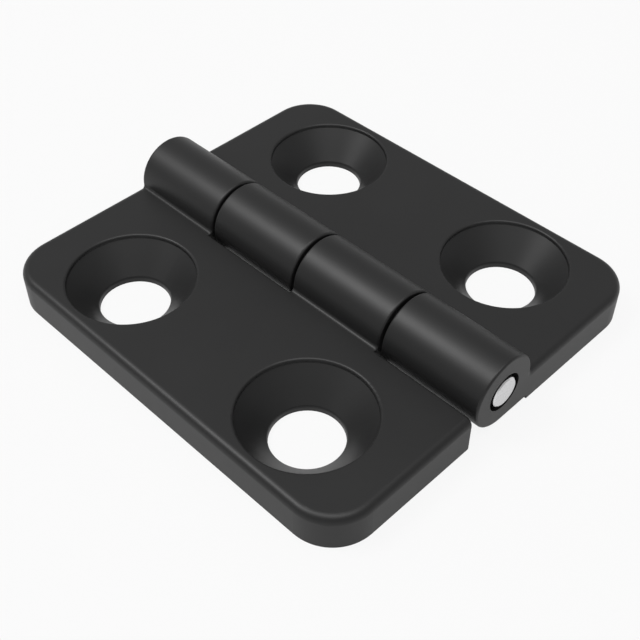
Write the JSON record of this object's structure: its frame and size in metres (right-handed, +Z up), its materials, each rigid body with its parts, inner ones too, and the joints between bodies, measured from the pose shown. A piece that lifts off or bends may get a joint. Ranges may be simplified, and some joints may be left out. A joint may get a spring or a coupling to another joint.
{
  "type": "butt hinge",
  "caption": "Moulded plastic butt hinge with interleaved knuckles on a steel pin and countersunk screw holes in both leaves.",
  "frame": {"origin": "middle of the open hinge, on the plane of both mounting faces, under the pin", "axes": "+Y along the pin, +X across the leaves towards the right leaf, +Z up, away from the mounting faces"},
  "size_m": [0.056, 0.0602, 0.0103],
  "materials": {
    "leaf_plastic": "fine moulded texture, black",
    "pin_steel": "plain bright steel"
  },
  "bodies": {
    "fixed_leaf": {"left_leaf": "leaf_plastic", "hinge_pin": "pin_steel"},
    "moving_leaf": {"right_leaf": "leaf_plastic"}
  },
  "joints": [
    {"name": "hinge_turn", "type": "hinge", "parent": "fixed_leaf", "child": "moving_leaf", "pos_m": [0, 0, 0.00533], "axis": [0, -1, 0], "range_deg": [-90, 180]}
  ]
}
